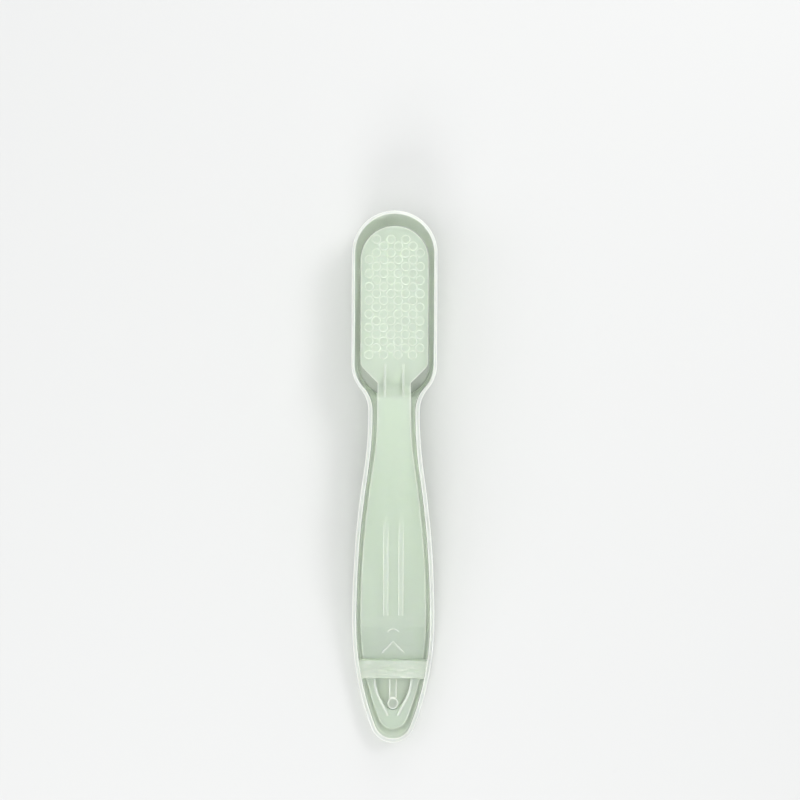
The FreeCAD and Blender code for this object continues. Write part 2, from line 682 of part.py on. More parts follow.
def make_ejector_plate():
    """Flat plate with a round tip and a tapered back, which pushes the rice out."""
    body = new_body("ejector_plate")
    half, corner, run = "Size.plate_half", "Size.plate_corner_place", "Size.plate_corner_run"
    pad(body, "plate", "XY_Plane", both_sides([
        ("0", "Size.plate_tip", ("right", half)),
        (half, f"Size.plate_tip - {half}", None),
        (half, f"{corner} + {run}", ("right", "Size.plate_round")),
        (f"{half} - {run} * cos(45)", f"{corner} - {run} * sin(45)", None),
        ("Size.lever_neck_half", "Size.web_end + Size.plate_neck", None),
        ("Size.lever_neck_half", "Size.web_end", None),
    ]), "Size.plate_thick", level="Size.plate_level")
    return body


# ---------------------------------------------------------------------------------------------
# Build, check and write
# ---------------------------------------------------------------------------------------------
nodes = [
    make_mould_body(),
    make_pusher_tail(),
    make_hinge_leaf(),
    make_press_lever(),
    make_ejector_plate(),
]
doc.recompute()

failed = [item.Label for item in doc.Objects if {"Invalid", "Error"} & set(item.State)]
if failed:
    raise RuntimeError("these objects failed: " + ", ".join(failed))
for node in nodes:
    if node.Shape.isNull() or not node.Shape.isValid() or len(node.Shape.Solids) != 1:
        raise RuntimeError(node.Label + " is not one sound solid")

os.makedirs("parts", exist_ok=True)
for node in nodes:
    node.Shape.exportStep(f"parts/{node.Label}.step")
    print(f"{node.Label}: {node.Shape.Volume:.1f} cubic mm")
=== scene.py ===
# %% [markdown]
# # A sushi rice mould press
#
# The real object is two thin mouldings in milky, slightly green polypropylene. One is a
# spoon-shaped mould with a channel as its handle. The other is a springy pusher that lies in the
# channel, and its plate fills the top of the mould. This script loads the measured model, then
# gives it the softened edges, the low bumps and the translucent plastic that a moulding has.
#
# Lengths on the press are written in millimetres and multiplied by `MM`, because Blender works
# in metres here. +Y runs from the tail to the tip of the mould, and +Z is up.

# %% Load the measured model
import math

import bmesh
import bpy
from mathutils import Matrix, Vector


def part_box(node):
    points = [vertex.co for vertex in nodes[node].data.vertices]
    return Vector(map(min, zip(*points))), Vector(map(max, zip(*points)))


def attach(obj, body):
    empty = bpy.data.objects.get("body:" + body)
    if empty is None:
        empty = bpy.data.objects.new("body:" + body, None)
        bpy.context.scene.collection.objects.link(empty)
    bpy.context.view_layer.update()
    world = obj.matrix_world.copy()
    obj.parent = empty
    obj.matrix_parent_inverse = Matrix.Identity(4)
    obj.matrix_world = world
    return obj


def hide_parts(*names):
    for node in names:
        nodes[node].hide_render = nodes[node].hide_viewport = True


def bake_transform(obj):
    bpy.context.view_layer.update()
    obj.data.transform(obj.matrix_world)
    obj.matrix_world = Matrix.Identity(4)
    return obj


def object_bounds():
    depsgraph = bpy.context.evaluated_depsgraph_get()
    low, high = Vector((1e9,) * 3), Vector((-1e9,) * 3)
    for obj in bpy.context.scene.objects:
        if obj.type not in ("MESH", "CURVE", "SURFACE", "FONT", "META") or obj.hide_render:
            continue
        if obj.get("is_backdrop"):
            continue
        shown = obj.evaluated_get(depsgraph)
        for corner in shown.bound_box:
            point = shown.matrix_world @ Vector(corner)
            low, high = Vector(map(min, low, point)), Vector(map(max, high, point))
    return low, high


MM = 0.001
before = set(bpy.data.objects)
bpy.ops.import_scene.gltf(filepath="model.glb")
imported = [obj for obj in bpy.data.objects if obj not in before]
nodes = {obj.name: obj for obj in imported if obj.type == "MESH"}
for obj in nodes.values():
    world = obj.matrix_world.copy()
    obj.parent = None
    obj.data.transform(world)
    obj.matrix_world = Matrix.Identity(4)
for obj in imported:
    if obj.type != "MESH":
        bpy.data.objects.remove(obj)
measured_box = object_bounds()
print("loaded", ", ".join(sorted(nodes)))

# %% [markdown]
# ## The camera
#
# The press is seen from straight above, from about 0.44 m. A camera so near sees the tall mould
# slightly larger than the low tail, and a little of the inside wall at the tip, so the height
# matters as much as the lens. The lens follows from the scale: on a picture 800 pixels wide,
# 1355 pixels stand for one unit of slope.

# %% Camera straight above the press
PICTURE_WIDTH = 800
FOCAL_PIXELS = 1354.8
SENSOR_WIDTH = 36
NEAREST_SEEN = 10 * MM
CAMERA_PLACE = (1.85 * MM, 25.5 * MM, 440 * MM)
CAMERA_ROLL = math.radians(0.27)

camera_data = bpy.data.cameras.new("overhead_camera")
camera_data.sensor_width = SENSOR_WIDTH
camera_data.lens = SENSOR_WIDTH * FOCAL_PIXELS / PICTURE_WIDTH
camera_data.clip_start = NEAREST_SEEN
camera = bpy.data.objects.new("overhead_camera", camera_data)
camera.location = CAMERA_PLACE
camera.rotation_euler = (0, 0, CAMERA_ROLL)
bpy.context.scene.collection.objects.link(camera)
bpy.context.scene.camera = camera
bpy.context.scene.view_settings.view_transform = "Standard"
print(f"lens {camera_data.lens:.1f} mm")

# %% [markdown]
# ## Nodes in a few words
#
# Materials and Geometry Nodes are both trees of nodes with links between sockets. One small
# helper keeps the cells below short: it adds a node, sets its properties, and gives each input
# a value or a link, whichever it is handed.


# %% Helper for node trees
def add_node(tree, kind, inputs=(), **settings):
    """Add a node, set its properties, then its inputs by name or number."""
    node = tree.nodes.new(kind)
    for name, value in settings.items():
        setattr(node, name, value)
    for key, value in dict(inputs).items():
        if isinstance(value, bpy.types.NodeSocket):
            tree.links.new(value, node.inputs[key])
        else:
            node.inputs[key].default_value = value
    return node


# %% [markdown]
# ## Floor, daylight and lamps
#
# A pale floor and a pale world make a calm studio. The floor is a little darker than white, so
# that the bright rims of the plastic stand out against it. Camera, glossy and transmission rays
# see it slightly brighter than the other rays do, and its shadow stays. The key lamp stands at
# the upper right, so the soft shadow falls to the left of the tail. The tip lamp is low and in
# front of the mould: it grazes the plate, and the low bumps there would be lost without it. The
# top lamp hangs over the press, and its light reaches the narrow gaps beside the pusher.

# %% Pale floor
FLOOR_COLOUR = (0.60, 0.60, 0.59, 1)
FLOOR_ROUGHNESS = 0.9
FLOOR_GLOW = 0.02
FLOOR_HALF = 1500 * MM
FLOOR_DROP = 0.2 * MM


def floor_material():
    """Matt floor that camera, glossy and transmission rays see a little brighter."""
    material = bpy.data.materials.new("pale_floor")
    material.use_nodes = True
    tree = material.node_tree
    shader = tree.nodes["Principled BSDF"]
    shader.inputs["Base Color"].default_value = FLOOR_COLOUR
    shader.inputs["Roughness"].default_value = FLOOR_ROUGHNESS
    rays = add_node(tree, "ShaderNodeLightPath").outputs
    seen = add_node(tree, "ShaderNodeMath", {0: rays["Is Camera Ray"],
                                             1: rays["Is Glossy Ray"]}, operation="MAXIMUM")
    seen = add_node(tree, "ShaderNodeMath", {0: seen.outputs[0],
                                             1: rays["Is Transmission Ray"]},
                    operation="MAXIMUM")
    glow = add_node(tree, "ShaderNodeMath", {0: seen.outputs[0], 1: FLOOR_GLOW},
                    operation="MULTIPLY")
    shader.inputs["Emission Color"].default_value = (1, 1, 1, 1)
    tree.links.new(glow.outputs[0], shader.inputs["Emission Strength"])
    return material


floor_mesh = bpy.data.meshes.new("floor")
floor_corners = [(x * FLOOR_HALF, y * FLOOR_HALF, 0)
                 for x, y in ((-1, -1), (1, -1), (1, 1), (-1, 1))]
floor_mesh.from_pydata(floor_corners, [], [(0, 1, 2, 3)])
floor_mesh.materials.append(floor_material())
floor = bpy.data.objects.new("floor", floor_mesh)
floor.location.z = -FLOOR_DROP
bpy.context.scene.collection.objects.link(floor)
floor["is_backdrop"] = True
print(f"floor {2 * FLOOR_HALF:.1f} m wide")

# %% World and lamps
SKY_COLOUR = (0.95, 0.97, 1.0, 1)
SKY_STRENGTH = 0.62
LAMP_TARGET = (0, 0, 10 * MM)
LAMPS = (  # name, place in metres, width in metres, watts
    ("key_lamp", (0.45, 0.4, 0.7), 0.35, 3.0),
    ("fill_lamp", (-0.65, 0.05, 0.55), 0.5, 1.2),
    ("tail_lamp", (-0.1, -0.7, 0.5), 0.4, 3.2),
    ("tip_lamp", (0.1, 0.7, 0.25), 0.4, 1.7),
    ("top_lamp", (-0.05, -0.1, 0.8), 0.3, 1.3),
)

world = bpy.data.worlds.new("daylight")
world.use_nodes = True
bpy.context.scene.world = world
sky = world.node_tree.nodes["Background"]
sky.inputs["Color"].default_value = SKY_COLOUR
sky.inputs["Strength"].default_value = SKY_STRENGTH


def area_lamp(name, place, width, watts):
    """Square soft lamp that faces the press."""
    data = bpy.data.lights.new(name, "AREA")
    data.size = width
    data.energy = watts
    lamp = bpy.data.objects.new(name, data)
    lamp.location = place
    way = Vector(LAMP_TARGET) - Vector(place)
    lamp.rotation_euler = way.to_track_quat("-Z", "Y").to_euler()
    bpy.context.scene.collection.objects.link(lamp)


for lamp_settings in LAMPS:
    area_lamp(*lamp_settings)
print(len(LAMPS), "lamps")

# %% [markdown]
# ## Milky polypropylene
#
# Natural polypropylene is neither clear nor white. Light goes in, scatters, and comes out again
# a little greener, and a thin wall lets through a blur of what lies behind it. So the shader
# has a large share of rough transmission, and the rest is subsurface scattering. Light that is
# caught in a wall leaves it at its edges, which is why the rims of such a thing look creamy
# white. Here that light is painted: the mesh carries a painted highlight as an attribute,
# `painted_rim_highlight`, and where it is set the colour is painted cream and the transmission
# drops. The finish of a moulding isn't the same everywhere either, so a cloud that is
# stretched along the press shifts the tint, and a fine grain moves the roughness and a very
# small bump. The strap has a matt face with fine streaks across it, which a second attribute,
# `matt_streaks`, switches on there; the streaks take the same cream and the same drop in
# transmission.
#
# Clear polypropylene has an index of refraction of 1.49. That is too strong here: a milky wall
# passes light on in more bounces than a renderer follows, and at 1.49 too much of it is lost
# between the walls, which turn grey. A lower index keeps them as fresh as they really are.


# %% Helpers for patterns
def scaled_place(tree, place, scale):
    """Object coordinates, stretched by a scale for each axis."""
    return add_node(tree, "ShaderNodeMapping", {"Vector": place, "Scale": scale}).outputs[0]


def noise(tree, place, scale, detail):
    """Cloudy pattern between 0 and 1."""
    return add_node(tree, "ShaderNodeTexNoise", {"Vector": place, "Scale": scale,
                                                 "Detail": detail}).outputs["Fac"]


def blended_colour(tree, share, first, second):
    """Colour that goes from the first to the second as the share goes from 0 to 1."""
    return add_node(tree, "ShaderNodeMix", {0: share, 6: first, 7: second},
                    data_type="RGBA").outputs[2]


def remapped(tree, value, **limits):
    """Value moved from one range to another, such as To_Min=0.4."""
    inputs = {name.replace("_", " "): limit for name, limit in limits.items()}
    return add_node(tree, "ShaderNodeMapRange", {"Value": value, **inputs}).outputs[0]


# %% Plastic material
# Cream colour of the painted rim highlight, and how much transmission it takes away; the strap's
# streaks use both too.
PAINTED_HIGHLIGHT_AND_STREAK_CREAM = (0.93, 0.945, 0.85, 1)
PAINTED_HIGHLIGHT_AND_STREAK_DENSITY = 0.6
MILKY_IOR = 1.25
CLOUD_SCALE = (260, 60, 260)
STREAK_SCALE = (500, 3000, 500)
STREAK_RANGE = (0.46, 0.72)
GRAIN_SCALE = 2600.0
GRAIN_ROUGHNESS = (0.44, 0.56)
GRAIN_STRENGTH = 0.12
GRAIN_DEPTH = 0.05 * MM
SOFT_COAT = 0.25
COAT_ROUGHNESS = 0.3
SCATTER_DEPTH = 3 * MM
SCATTER_SHARES = (1.0, 1.0, 0.9)


def milky_plastic(name, colour, deep_colour, clearness):
    """Translucent plastic with a cloudy tint, creamy rims and a fine grain."""
    material = bpy.data.materials.new(name)
    material.use_nodes = True
    tree = material.node_tree
    inputs = tree.nodes["Principled BSDF"].inputs
    place = add_node(tree, "ShaderNodeTexCoord").outputs["Object"]
    cloud = noise(tree, scaled_place(tree, place, CLOUD_SCALE), 1.0, 3.0)
    tint = blended_colour(tree, cloud, colour, deep_colour)
    streak = noise(tree, scaled_place(tree, place, STREAK_SCALE), 1.0, 2.0)
    streak = remapped(tree, streak, From_Min=STREAK_RANGE[0], From_Max=STREAK_RANGE[1])
    matt = add_node(tree, "ShaderNodeAttribute", attribute_name="matt_streaks")
    streak = add_node(tree, "ShaderNodeMath", {0: streak, 1: matt.outputs["Fac"]},
                      operation="MULTIPLY")
    # Painted highlight: where the rim attribute or a strap streak is set, the colour is painted
    # cream and the transmission drops.
    painted_highlight_and_streaks = add_node(tree, "ShaderNodeAttribute", attribute_name="painted_rim_highlight")
    painted_highlight_and_streaks = add_node(tree, "ShaderNodeMath", {0: painted_highlight_and_streaks.outputs["Fac"], 1: streak.outputs[0]},
                   operation="MAXIMUM").outputs[0]
    tree.links.new(blended_colour(tree, painted_highlight_and_streaks, tint, PAINTED_HIGHLIGHT_AND_STREAK_CREAM), inputs["Base Color"])
    clear = remapped(tree, painted_highlight_and_streaks, To_Min=clearness, To_Max=clearness - PAINTED_HIGHLIGHT_AND_STREAK_DENSITY)
    tree.links.new(clear, inputs["Transmission Weight"])
    grain = noise(tree, place, GRAIN_SCALE, 2.0)
    rough = remapped(tree, grain, To_Min=GRAIN_ROUGHNESS[0], To_Max=GRAIN_ROUGHNESS[1])
    tree.links.new(rough, inputs["Roughness"])
    bump = add_node(tree, "ShaderNodeBump", {"Height": grain, "Strength": GRAIN_STRENGTH,
                                             "Distance": GRAIN_DEPTH})
    tree.links.new(bump.outputs[0], inputs["Normal"])
    inputs["IOR"].default_value = MILKY_IOR
    inputs["Coat Weight"].default_value = SOFT_COAT
    inputs["Coat Roughness"].default_value = COAT_ROUGHNESS
    inputs["Subsurface Weight"].default_value = 1.0
    inputs["Subsurface Radius"].default_value = SCATTER_SHARES
    inputs["Subsurface Scale"].default_value = SCATTER_DEPTH
    print(name, len(tree.nodes), "nodes")
    return material


mould_plastic = milky_plastic("mould_polypropylene", colour=(0.86, 0.93, 0.82, 1),
                              deep_colour=(0.83, 0.91, 0.79, 1), clearness=0.82)
pusher_plastic = milky_plastic("pusher_polypropylene", colour=(0.81, 0.89, 0.78, 1),
                               deep_colour=(0.78, 0.87, 0.75, 1), clearness=0.65)

# %% [markdown]
# ## The pusher in one piece
#
# The measured model cuts the pusher into four solids, because a hinge can't bend a solid. The
# real one is a single moulding, so here it is one skin that runs across the hinge, curved along
# the leaf. Its plan is a chain of tangent arcs, and its height changes only along the press. So a
# list of stations along the outline is enough: each station gets the same little rounded
# cross-section, and the stations are joined by faces, like the ribs and planks of a boat.

# %% Sizes of the pusher, in millimetres
SEAT_LEVEL = 1.65
PAD_THICK = 1.5
LEAF_THICK = 1.1
LEVER_THICK = 1.6
LEAF_EASE = 5.0
LEAF_BACK = -58.0
LEAF_FRONT = -43.6
LEAF_BEND = math.radians(16)
LEVER_END = 25.8
LEVER_LEVEL = 18.1
WEB_CREST = 0.7
WEB_MIDDLE = 28.0
WEB_END = 30.0
PLATE_LEVEL = 14.4
PLATE_TOP = 15.9
PLATE_HALF = 10.6
PLATE_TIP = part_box("ejector_plate")[1].y / MM
PLATE_ROUND = 3.0
PLATE_CORNER = 45
PLATE_NECK = 0.8
NECK_HALF = 5.2
NECK_PLACE = 22.0
GRIP_HALF = 10.55
GRIP_PLACE = -46.5
GRIP_ROUND = 327.5
TAIL_LENGTH = 34.1
TAIL_ROUND = 4.8
PUSHER_EDGE = 0.35
print(f"pusher {PLATE_TIP - GRIP_PLACE + TAIL_LENGTH:.1f} mm long")


# %% Plan: a chain of arcs
def arc(centre, radius, start, end, step=1.2):
    """Points along an arc, with angles in degrees and a step in millimetres."""
    turn = math.radians(end - start)
    count = max(3, math.ceil(abs(turn) * radius / step))
    angles = [math.radians(start) + turn * place / count for place in range(count + 1)]
    return [(centre[0] + radius * math.cos(angle), centre[1] + radius * math.sin(angle))
            for angle in angles]


def neck_to_grip():
    """Two arcs that touch: the waist at the neck and the belly at the grip."""
    across, along = GRIP_HALF - NECK_HALF, NECK_PLACE - GRIP_PLACE
    both = (across ** 2 + along ** 2) / (2 * across)
    neck_round = both - GRIP_ROUND
    turn = math.degrees(math.asin(along / both))
    points = arc((NECK_HALF + neck_round, NECK_PLACE), neck_round, 180, 180 + turn)
    return points + arc((GRIP_HALF - GRIP_ROUND, GRIP_PLACE), GRIP_ROUND, turn, 0)[1:]


def grip_to_tail():
    """Two arcs that touch: the side behind the grip and the round end of the tail."""
    reach = TAIL_LENGTH - TAIL_ROUND
    side = (GRIP_HALF ** 2 + reach ** 2 - TAIL_ROUND ** 2) / (2 * (GRIP_HALF - TAIL_ROUND))
    turn = math.degrees(math.asin(reach / (side - TAIL_ROUND)))
    points = arc((GRIP_HALF - side, GRIP_PLACE), side, 0, -turn)[1:]
    return points + arc((0, GRIP_PLACE - reach), TAIL_ROUND, -turn, -90, step=0.5)[1:]


def pusher_plan():
    """Right half of the pusher's outline, from the tip of the plate to the end of the tail."""
    tip = (0, PLATE_TIP - PLATE_HALF)
    corner = WEB_END + PLATE_NECK + PLATE_HALF - NECK_HALF
    run = PLATE_ROUND * math.tan(math.radians(PLATE_CORNER / 2))
    points = arc(tip, PLATE_HALF, 90, 0, step=0.8)
    points += arc((PLATE_HALF - PLATE_ROUND, corner + run), PLATE_ROUND, 0, -PLATE_CORNER,
                  step=0.5)
    points += [(NECK_HALF, WEB_END + PLATE_NECK)]
    return points + neck_to_grip() + grip_to_tail()


# %% Stations: closest where the height changes quickly
BUSY_PLACES = (LEAF_BACK, LEAF_FRONT, WEB_MIDDLE)
BUSY_REACH = 4.5
BUSY_STEP = 0.25
CALM_STEP = 1.6


def closer_together(points):
    """Add points between those of an outline."""
    result = [points[0]]
    for (x0, y0), (x1, y1) in zip(points, points[1:]):
        middle = (y0 + y1) / 2
        busy = any(abs(middle - place) < BUSY_REACH for place in BUSY_PLACES)
        step = BUSY_STEP if busy else CALM_STEP
        count = max(1, math.ceil(math.dist((x0, y0), (x1, y1)) / step))
        result += [(x0 + (x1 - x0) * part / count, y0 + (y1 - y0) * part / count)
                   for part in range(1, count + 1)]
    return result


stations = closer_together(pusher_plan())
print(len(stations), "stations")

# %% Side view: the height of the underside and of the top
LEAF_ROUND = (LEAF_FRONT - LEAF_BACK) / math.sin(LEAF_BEND)
ROOT_LEVEL = SEAT_LEVEL + LEAF_ROUND * (1 - math.cos(LEAF_BEND))
LEVER_CHORD = math.dist((LEAF_FRONT, ROOT_LEVEL), (LEVER_END, LEVER_LEVEL))
HALF_TURN = LEAF_BEND - math.atan2(LEVER_LEVEL - ROOT_LEVEL, LEVER_END - LEAF_FRONT)
LEVER_ROUND = LEVER_CHORD / (2 * math.sin(HALF_TURN))
BOW_PLACE = LEAF_FRONT + LEVER_ROUND * math.sin(LEAF_BEND)
BOW_LEVEL = ROOT_LEVEL - LEVER_ROUND * math.cos(LEAF_BEND)
CREST_END = LEVER_END + WEB_CREST
CREST_LEVEL = LEVER_LEVEL + LEVER_THICK
SLOPE_STEP = 0.01
print(f"lever bowed to a radius of {LEVER_ROUND:.0f} mm")


def underside(y):
    """Underside of the pusher: flat tail, curved leaf, bowed lever, slope and plate."""
    if y < LEAF_BACK:
        return SEAT_LEVEL
    if y < LEAF_FRONT:
        return SEAT_LEVEL + LEAF_ROUND - math.sqrt(LEAF_ROUND ** 2 - (y - LEAF_BACK) ** 2)
    if y < LEVER_END:
        return BOW_LEVEL + math.sqrt(LEVER_ROUND ** 2 - (y - BOW_PLACE) ** 2)
    part = min((y - LEVER_END) / (WEB_END - LEVER_END), 1)
    return LEVER_LEVEL + (PLATE_LEVEL - LEVER_LEVEL) * part


def eased(part):
    """Smooth rise from 0 to 1."""
    part = min(max(part, 0), 1)
    return part * part * (3 - 2 * part)


def thickness(y):
    """Thickness of the tail, the leaf and the lever, which run into one another."""
    thinner = eased((y - LEAF_BACK) / LEAF_EASE)
    thicker = eased((y - LEAF_FRONT) / LEAF_EASE + 1)
    return PAD_THICK + (LEAF_THICK - PAD_THICK) * thinner + (LEVER_THICK - LEAF_THICK) * thicker


def topside(y):
    """Top of the pusher."""
    if y < LEVER_END:
        rise = underside(y + SLOPE_STEP) - underside(y - SLOPE_STEP)
        slope = rise / (2 * SLOPE_STEP)
        return underside(y) + thickness(y) * math.hypot(1, slope)
    if y < CREST_END:
        return CREST_LEVEL
    part = min((y - CREST_END) / (WEB_END - CREST_END), 1)
    return CREST_LEVEL + (PLATE_TOP - CREST_LEVEL) * part


# %% [markdown]
# ## From stations to a skin
#
# A sharp corner on a plastic part looks wrong, because a mould can't make one and because a
# real corner catches a thin line of light. So the cross-section at each station turns its
# corners in small arcs. Where the height steps, a short average along the press softens the
# step as the plastic would.

# %% Helpers that make skins
SHARP_ANGLE = math.radians(32)
SAME_PLACE = 0.001 * MM
PAINTED_EDGE_HIGHLIGHT = 0.6
LOOKS_UP = 0.9


def softened(height, y, reach=0.45):
    """Average of a height over a short stretch, which rounds its steps and bends."""
    weights = (1, 2, 3, 2, 1)
    middle = len(weights) // 2
    total = sum(weight * height(y + reach * (place - middle) / middle)
                for place, weight in enumerate(weights))
    return total / sum(weights)


def shade(mesh):
    """Smooth shading that stops at sharp angles."""
    mesh.shade_smooth()
    mesh.set_sharp_from_angle(angle=SHARP_ANGLE)


def add_piece(name, bm, material):
    """Turn a bmesh into an object at the origin."""
    mesh = bpy.data.meshes.new(name)
    bm.to_mesh(mesh)
    bm.free()
    shade(mesh)
    mesh.materials.append(material)
    piece = bpy.data.objects.new(name, mesh)
    bpy.context.scene.collection.objects.link(piece)
    return piece


def corner_steps(edge, count=3):
    """Inset and drop of the points that round a corner, from its side to its top."""
    angles = [math.pi / 2 * place / count for place in range(count + 1)]
    return [(edge * (1 - math.cos(angle)), edge * (1 - math.sin(angle))) for angle in angles]


def bridge(bm, ring, next_ring):
    """Faces all round between two rings of as many corners."""
    for k in range(len(ring)):
        after = (k + 1) % len(ring)
        bm.faces.new((ring[k], ring[after], next_ring[after], next_ring[k]))


def neighbours(points, place):
    """The points before and after a place in a line, or the place itself at the line's ends."""
    return points[max(place - 1, 0)], points[min(place + 1, len(points) - 1)]


# %% Closed slab over a plan
def soft_slab(name, plan, low, high, edge, material):
    """Closed slab over the right half of a plan, mirrored, with rounded edges and a painted
    highlight on the upper ones.
    """
    section = [(inset, drop, low, 1) for inset, drop in reversed(corner_steps(edge))]
    section += [(inset, drop, high, -1) for inset, drop in corner_steps(edge)]
    bm = bmesh.new()
    glow = bm.faces.layers.float.new("painted_rim_highlight")
    rings = []
    for place, (x, y) in enumerate(plan):
        before, after = neighbours(plan, place)
        if place in (0, len(plan) - 1):
            out = Vector((0, 1 if place == 0 else -1))
        else:
            out = Vector((before[1] - after[1], after[0] - before[0])).normalized()
        right, left = [], []
        for inset, drop, height, way in section:
            px, py = x - out.x * inset, y - out.y * inset
            pz = softened(height, py) + way * drop
            right.append(bm.verts.new((px * MM, py * MM, pz * MM)))
            left.append(bm.verts.new((-px * MM, py * MM, pz * MM)))
        rings.append((right, left))
    for (right, left), (next_right, next_left) in zip(rings, rings[1:]):
        for k in range(len(section) - 1):
            sides = (bm.faces.new((right[k], right[k + 1], next_right[k + 1], next_right[k])),
                     bm.faces.new((left[k + 1], left[k], next_left[k], next_left[k + 1])))
            for face in sides:
                # Painted highlight on the faces that round the upper edges.
                face[glow] = PAINTED_EDGE_HIGHLIGHT if k > len(section) / 2 - 1 else 0
        bm.faces.new((right[-1], left[-1], next_left[-1], next_right[-1]))
        bm.faces.new((left[0], right[0], next_right[0], next_left[0]))
    bmesh.ops.remove_doubles(bm, verts=bm.verts, dist=SAME_PLACE)
    bmesh.ops.recalc_face_normals(bm, faces=bm.faces)
    print(name, "faces", len(bm.faces), "volume", round(bm.calc_volume() / MM ** 3, 1), "mm3")
    return add_piece(name, bm, material)


# %% Bar along a path
def soft_bar(name, path, half_width, low, high, edge, glow):
    """Bar along a path of (x, y) points, with rounded edges; glow is the painted highlight of its
    sides and its top.
    """
    steps = corner_steps(edge)
    section = [(half_width - inset, high, -drop) for inset, drop in steps]
    section += [(inset - half_width, high, -drop) for inset, drop in reversed(steps)]
    section = [(-half_width, low, 0), (half_width, low, 0)] + section
    bm = bmesh.new()
    rings = []
    for place, (x, y) in enumerate(path):
        before, after = neighbours(path, place)
        along = Vector((after[0] - before[0], after[1] - before[1])).normalized()
        ring = []
        for side, height, rise in section:
            px, py = x + along.y * side, y - along.x * side
            ring.append(bm.verts.new((px * MM, py * MM, (height(py) + rise) * MM)))
        rings.append(ring)
    for ring, next_ring in zip(rings, rings[1:]):
        bridge(bm, ring, next_ring)
    bm.faces.new(rings[0])
    bm.faces.new(rings[-1])
    bmesh.ops.recalc_face_normals(bm, faces=bm.faces)
    # Painted highlight: the sides take the first value of glow, the top the second.
    painted_rim_highlight = bm.faces.layers.float.new("painted_rim_highlight")
    for face in bm.faces:
        face[painted_rim_highlight] = glow[face.normal.z > LOOKS_UP]
    return add_piece(name, bm, pusher_plastic)


# %% Modifiers and booleans
def apply_modifiers(piece):
    """Give a piece the mesh that its modifiers make, and remove them."""
    graph = bpy.context.evaluated_depsgraph_get()
    mesh = bpy.data.meshes.new_from_object(piece.evaluated_get(graph))
    piece.modifiers.clear()
    piece.data = mesh


def combine(piece, others, operation):
    """Join other pieces to a piece, or cut them from it, and delete them."""
    for other in others:
        modifier = piece.modifiers.new(other.name, "BOOLEAN")
        modifier.operation = operation
        modifier.solver = "EXACT"
        modifier.object = other
    apply_modifiers(piece)
    shade(piece.data)
    for other in others:
        bpy.data.objects.remove(other)


def even_shading(piece):
    """Let the large flat faces keep their own normals, so that they look flat."""
    modifier = piece.modifiers.new("even_shading", "WEIGHTED_NORMAL")
    modifier.weight = 100
    modifier.keep_sharp = True
    apply_modifiers(piece)


# %% Skin of the pusher
pusher = soft_slab("pusher_moulding", stations, underside, topside, PUSHER_EDGE, pusher_plastic)

# %% [markdown]
# ## The latch window
#
# The held tail has an opening that snaps over a round boss. Its sides are bowed and run into a
# rounded end, and a thin rib follows each side. The opening is cut with a boolean, because it
# crosses the skin, and the ribs are bars that follow the same arcs.

# %% Outline of the window
WINDOW_START = -63.5
WINDOW_HALF = 5.55
WINDOW_END = -74.4
WINDOW_ROUND = 2.9
WINDOW_BOW = 15.3
WINDOW_CUT = 8.0


def window_bow_centre():
    """Centre of the bowed side, which touches the rounded end, and the angle where it does."""
    nose = WINDOW_END + WINDOW_ROUND
    reach = math.dist((WINDOW_HALF, WINDOW_START), (0, nose))
    bow = WINDOW_BOW - WINDOW_ROUND
    lift = math.atan2(WINDOW_START - nose, WINDOW_HALF)
    lift += math.acos((reach ** 2 + bow ** 2 - WINDOW_BOW ** 2) / (2 * reach * bow))
    return bow * math.cos(lift), nose + bow * math.sin(lift), math.degrees(lift) - 180


def window_side(radius, start, end):
    """Right side of the window, or a line beside it, between two places along the press."""
    x, y, _ = window_bow_centre()
    first = math.degrees(math.asin((start - y) / radius))
    last = math.degrees(math.asin((end - y) / radius))
    return arc((x, y), radius, first, last, step=0.6)


def mirrored(points):
    """The same points on the other side of the middle line."""
    return [(-x, y) for x, y in points]


def window_outline():
    """The window all round, from the middle of its straight end."""
    nose = WINDOW_END + WINDOW_ROUND
    touch = window_bow_centre()[2]
    side_end = nose + WINDOW_ROUND * math.sin(math.radians(touch))
    side = window_side(WINDOW_BOW, WINDOW_START, side_end)
    end = arc((0, nose), WINDOW_ROUND, touch, -90, step=0.4)[1:]
    half = [(0, WINDOW_START)] + side + end
    return half + mirrored(half[-2:0:-1])


def upright_block(name, outline, height):
    """Block over an outline, from the table up."""
    bm = bmesh.new()
    lower = [bm.verts.new((x * MM, y * MM, 0)) for x, y in outline]
    upper = [bm.verts.new((x * MM, y * MM, height * MM)) for x, y in outline]
    bm.faces.new(lower)
    bm.faces.new(upper)
    bridge(bm, lower, upper)
    bmesh.ops.recalc_face_normals(bm, faces=bm.faces)
    return add_piece(name, bm, pusher_plastic)


combine(pusher, [upright_block("window", window_outline(), WINDOW_CUT)], "DIFFERENCE")
print("window cut,", len(pusher.data.polygons), "faces")

# %% Ribs beside the window
WINDOW_RIB = 0.8
WINDOW_RIB_START = -64.4
WINDOW_RIB_BEND = -71.0
WINDOW_RIB_END = -76.2
WINDOW_RIB_RISE = 0.5
WINDOW_RIB_SUNK = 0.6
WINDOW_RIB_EDGE = 0.25
# Painted highlight on the sides and the top of the window ribs.
WINDOW_RIB_PAINTED_HIGHLIGHT = (0.5, 0.5)
PAD_TOP = SEAT_LEVEL + PAD_THICK


def flat(level):
    """Height that is the same everywhere."""
    return lambda y: level


def window_rib_line():
    """Line that follows the bowed side of the window, then runs on straight."""
    line = window_side(WINDOW_BOW + WINDOW_RIB / 2, WINDOW_RIB_START, WINDOW_RIB_BEND)
    bow_x, bow_y, _ = window_bow_centre()
    x, y = line[-1]
    lean = (y - bow_y) / (x - bow_x)
    return line + [(x - lean * (WINDOW_RIB_END - y), WINDOW_RIB_END)]


